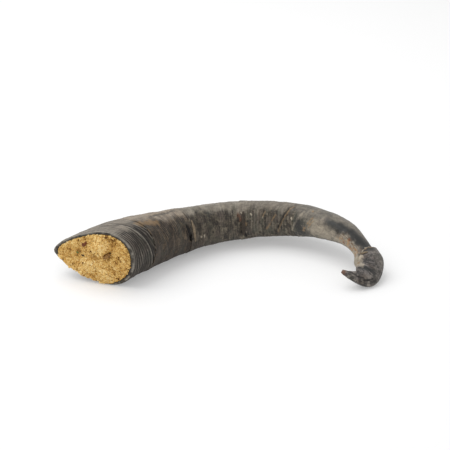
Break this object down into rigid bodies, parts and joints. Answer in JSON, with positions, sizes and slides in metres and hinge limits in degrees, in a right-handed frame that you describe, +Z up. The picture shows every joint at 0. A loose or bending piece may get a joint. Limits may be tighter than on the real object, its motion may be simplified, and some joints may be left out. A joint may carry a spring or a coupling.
{
  "type": "filled goat horn",
  "caption": "Curved natural goat horn lying on its side, sawn open at the base and packed with crumbly filling, with a hooked solid tip.",
  "frame": {"origin": "on the floor, under the centre of the horn's bounding box, with the horn lying on its side as it rests", "axes": "+X along the longest extent, from the mouth towards the hook; +Z up, across the flat of the curl; +Y towards the crown of the curl"},
  "size_m": [0.2462, 0.103, 0.0437],
  "materials": {
    "collar_keratin": "satin",
    "brown_keratin": "matte",
    "body_keratin": "matte",
    "neck_keratin": "satin",
    "cap_keratin": "satin",
    "crumbly_filling": "matte",
    "bark": "matte",
    "husk": "matte",
    "dried_leaf": "matte",
    "pale_scale": "matte",
    "brown_scale": "matte"
  },
  "bodies": {
    "root": {"mouth_cone": "collar_keratin", "brown_cone": "brown_keratin", "lower_body_cone": "body_keratin", "upper_body_cone": "body_keratin", "neck_cone": "neck_keratin", "tip_cap": "cap_keratin", "filling_plug": "crumbly_filling", "bark_flake": "bark", "bark_shred": "bark", "bark_crumb": "bark", "seed_husk": "husk", "leaf_fleck": "dried_leaf", "lifted_scale": "pale_scale", "brown_scale": "brown_scale", "seam_chip": "pale_scale"}
  },
  "joints": []
}
